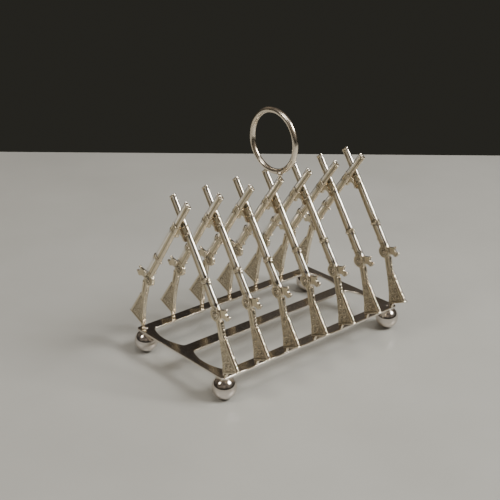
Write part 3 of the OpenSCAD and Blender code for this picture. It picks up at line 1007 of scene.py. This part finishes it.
outlines = [frame_edge(), opening_edge(1), opening_edge(-1)]
print("the outlines have", [len(edge) for edge in outlines], "points")

# %% [markdown]
# ## Cutting the frame out of plate
# A flat 2D curve with a hole for each opening fills itself, and its bevel rounds every edge, which gives the
# thin bright line that runs along each rail. The fill and the bevel meet in doubled points, so those are
# merged, and only the rounded edges are shaded smooth: the flats must stay flat to look like plate.

# %% Cut the frame out of plate
EDGE_ROUND = 0.5
MERGE_DISTANCE = 1e-6
FLAT_LIMIT = 0.99
sheet = bpy.data.curves.new("sheet", "CURVE")
sheet.dimensions = "2D"
sheet.fill_mode = "BOTH"
sheet.extrude = BASE_THICK / 2 - EDGE_ROUND
sheet.bevel_depth = EDGE_ROUND
sheet.bevel_resolution = 3
sheet.offset = -EDGE_ROUND
for edge in outlines:
    line = sheet.splines.new("POLY")
    line.points.add(len(edge) - 1)
    for point, (x, y) in zip(line.points, edge):
        point.co = (x, y, 0, 1)
    line.use_cyclic_u = True
frame_mesh = evaluated(bpy.data.objects.new("holder", sheet))
frame_mesh.transform(Matrix.Scale(MM, 4) @ Matrix.Translation((0, 0, BASE_TOP - BASE_THICK / 2)))
frame_bm = bmesh.new()
frame_bm.from_mesh(frame_mesh)
bmesh.ops.remove_doubles(frame_bm, verts=frame_bm.verts, dist=MERGE_DISTANCE)
bmesh.ops.recalc_face_normals(frame_bm, faces=frame_bm.faces)
for face in frame_bm.faces:
    face.smooth = abs(face.normal.z) < FLAT_LIMIT
frame_bm.to_mesh(frame_mesh)
open_edges = sum(1 for edge in frame_bm.edges if len(edge.link_faces) != 2)
frame_bm.free()
frame_mesh.materials.clear()
frame_mesh.materials.append(frame_finish)
finished("frame_plate", frame_mesh, "polished_plate", "base_frame")
print("frame:", len(frame_mesh.polygons), "faces,", open_edges, "open edges")

# %% [markdown]
# ## The ball feet
# Each foot is a turned ball, worn flat where it stands and cut flat where it meets the frame. Its peg goes up
# through a corner of the frame, and the end was hammered over into a small dome, which shows as a bright bead
# on the corner. The lathe makes the ball, the peg and the dome from one profile.

# %% Turn the feet
BALL_RADIUS = 7.5
FLAT_RADIUS = 1.0
PEG_RADIUS = 1.1
BALL_STEPS, FOOT_SIDES = 48, 64
frame_under = BASE_TOP - BASE_THICK
ball_height = math.sqrt(BALL_RADIUS ** 2 - FLAT_RADIUS ** 2)
start_angle = math.asin(FLAT_RADIUS / BALL_RADIUS)
top_angle = math.acos((ball_height - frame_under) / BALL_RADIUS)
foot_profile = [(0, 0), (0, FLAT_RADIUS * 0.8)]
foot_profile += [
    (ball_height - BALL_RADIUS * math.cos(a), BALL_RADIUS * math.sin(a))
    for a in np.linspace(start_angle, top_angle, BALL_STEPS)
]
dome = [(0, 1.45), (0.2, 1.4), (0.42, 1.1), (0.56, 0.6), (0.6, 0)]
foot_profile += [(frame_under, PEG_RADIUS), (BASE_TOP, PEG_RADIUS)]
foot_profile += [(BASE_TOP + up, radius) for up, radius in dome]
for name in ("foot_front_left", "foot_front_right", "foot_rear_left", "foot_rear_right"):
    low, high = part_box(name)
    middle = (low + high) / 2 / MM
    foot_mesh = turned(foot_profile, FOOT_SIDES, (middle.x, middle.y, 0), (0, 0, 1))
    foot_mesh.transform(Matrix.Scale(MM, 4))
    foot_mesh.materials.append(foot_finish)
    finished(name.replace("foot", "ball"), foot_mesh, "polished_plate", name)
print("foot:", len(foot_mesh.polygons), "faces")

# %% [markdown]
# ## Tenon ends under the rails
# A tenon on each toe goes through the rail, and its end is riveted over underneath. The ends repeat along the
# rails, so a recipe puts one small dome on every point of a line.

# %% Rivet the tenon ends
riveting, given = new_recipe("tenon ends", Head_Radius=0.95, Head_Height=0.3)
head = add_node(riveting, "GeometryNodeMeshUVSphere", Segments=20, Rings=10, Radius=1.0)
radius = given["Head Radius"]
size = add_node(riveting, "ShaderNodeCombineXYZ", X=radius, Y=radius, Z=given["Head Height"])
heads = add_node(
    riveting, "GeometryNodeInstanceOnPoints",
    Points=given["Geometry"], Instance=head.outputs["Mesh"], Scale=size.outputs[0],
)
end_recipe(riveting, heads.outputs[0], foot_finish)
TENON_OUT = TOE_OUT + 1
points = bpy.data.meshes.new("points")
points.from_pydata(
    [(x - TOE_SHIFT, -TENON_OUT, frame_under) for x in PAIR_MIDDLES]
    + [(x + TOE_SHIFT, TENON_OUT, frame_under) for x in PAIR_MIDDLES], [], []
)
ends_mesh = cook(riveting, points, Head_Radius=0.95, Head_Height=0.32)
ends_mesh.transform(Matrix.Scale(MM, 4))
finished("tenon_ends", ends_mesh, "polished_plate", *FRONT, *REAR)
print("tenon ends:", len(ends_mesh.polygons), "faces")

# %% [markdown]
# ## The table
# Silver shows what is round it, so the surroundings are part of its look. The rack stands on a pale, slightly
# glossy table whose far edge crosses behind it. The table fills the undersides of the silver with soft grey.

# %% Lay the table
PALE, PALER = (0.49, 0.485, 0.45, 1), (0.54, 0.535, 0.50, 1)
table_finish, tree, shader, where = new_finish("pale table")
cloudy = spread(tree, noise(tree, where, 9, 4), 0.3, 0.7)
tree.links.new(mixed(tree, cloudy, PALE, PALER), shader.inputs["Base Color"])
tree.links.new(spread(tree, noise(tree, where, 12, 2), 0.3, 0.7, 0.28, 0.34), shader.inputs["Roughness"])
SIDE, FAR_EDGE = 0.7, 0.396
EDGE_TURN = math.radians(40.93)
table_corners = [(-SIDE, -SIDE, 0), (SIDE, -SIDE, 0), (SIDE, FAR_EDGE, 0), (-SIDE, FAR_EDGE, 0)]
table_mesh = bpy.data.meshes.new("table")
table_mesh.from_pydata(table_corners, [], [(0, 1, 2, 3)])
table_mesh.transform(Matrix.Rotation(-EDGE_TURN, 4, "Z"))
table_mesh.materials.append(table_finish)
table = bpy.data.objects.new("table", table_mesh)
bpy.context.scene.collection.objects.link(table)
print("the table ends", FAR_EDGE, "m behind the rack")

# %% [markdown]
# ## The room
# The room is what the mirror finishes show between the lamps. Its walls are dark near the table and hold dim,
# blurred things higher up, which break the reflections into brown and black bands. One side is brighter, as
# from a wall that the window lights. All of this is a few colours mixed by the direction of the ray.

# %% Build the dark room
WALL_DARK = (0.0238, 0.0230, 0.0188, 1)
THINGS_DARK, THINGS_DIM = (0.035, 0.031, 0.028, 1), (0.27, 0.235, 0.20, 1)
LIT_WALL = (0.6, 0.58, 0.55, 1)
BRIGHT_SIDE = Vector((0.46, -0.59, 0.66)).normalized()
world = bpy.data.worlds.new("dark room")
world.use_nodes = True
bpy.context.scene.world = world
sky = world.node_tree
ray = add_node(sky, "ShaderNodeTexCoord").outputs["Generated"]
height = add_node(sky, "ShaderNodeSeparateXYZ", Vector=ray).outputs["Z"]
aim = add_node(
    sky, "ShaderNodeVectorMath", {"operation": "DOT_PRODUCT"}, i0=ray, i1=BRIGHT_SIDE
).outputs["Value"]
clutter = spread(sky, noise(sky, ray, 2.6, 2), 0.38, 0.64)
things = mixed(sky, clutter, THINGS_DARK, THINGS_DIM)
walls = mixed(sky, spread(sky, height, 0.05, 0.42), WALL_DARK, things)
lit = worked(sky, "MULTIPLY", spread(sky, aim, 0.92, 0.99), spread(sky, height, 0.02, 0.25))
room = mixed(sky, lit, walls, LIT_WALL)
sky.links.new(room, sky.nodes["Background"].inputs["Color"])
print("the bright side of the room is towards", [round(v, 2) for v in BRIGHT_SIDE])

# %% [markdown]
# ## Three soft lamps
# A strong window on the right draws the bright streaks along the barrels, a weaker one on the left draws the
# second highlight on each ball foot, and a dim ceiling softens the shadows. Each is a rectangle of light that
# faces the rack, and its size sets how soft its shadows are.

# %% Hang the lamps
LAMP_AIM = Vector((0, 0, 0.06))


def soft_lamp(name, turn, tilt, distance, width, height, power, tint):
    """A rectangular lamp that faces the rack, placed by its compass turn and its tilt above the table."""
    lamp = bpy.data.lights.new(name, "AREA")
    lamp.shape = "RECTANGLE"
    lamp.size, lamp.size_y = width, height
    lamp.energy = power
    lamp.color = tint
    out = Vector((
        math.sin(math.radians(turn)) * math.cos(math.radians(tilt)),
        math.cos(math.radians(turn)) * math.cos(math.radians(tilt)),
        math.sin(math.radians(tilt)),
    ))
    holder = bpy.data.objects.new(name, lamp)
    holder.location = LAMP_AIM + out * distance
    holder.rotation_mode = "QUATERNION"
    holder.rotation_quaternion = (-out).to_track_quat("-Z", "Y")
    bpy.context.scene.collection.objects.link(holder)
    print(name, "at", [round(v, 2) for v in holder.location])


soft_lamp("right window", 147, 45, 1.5, 0.55, 0.5, 21, (1.0, 0.99, 0.96))
soft_lamp("left window", 284, 44, 1.5, 0.35, 0.4, 5, (1.0, 0.95, 0.88))
soft_lamp("ceiling", 221, 84, 1.6, 0.8, 0.8, 6, (1.0, 0.98, 0.94))
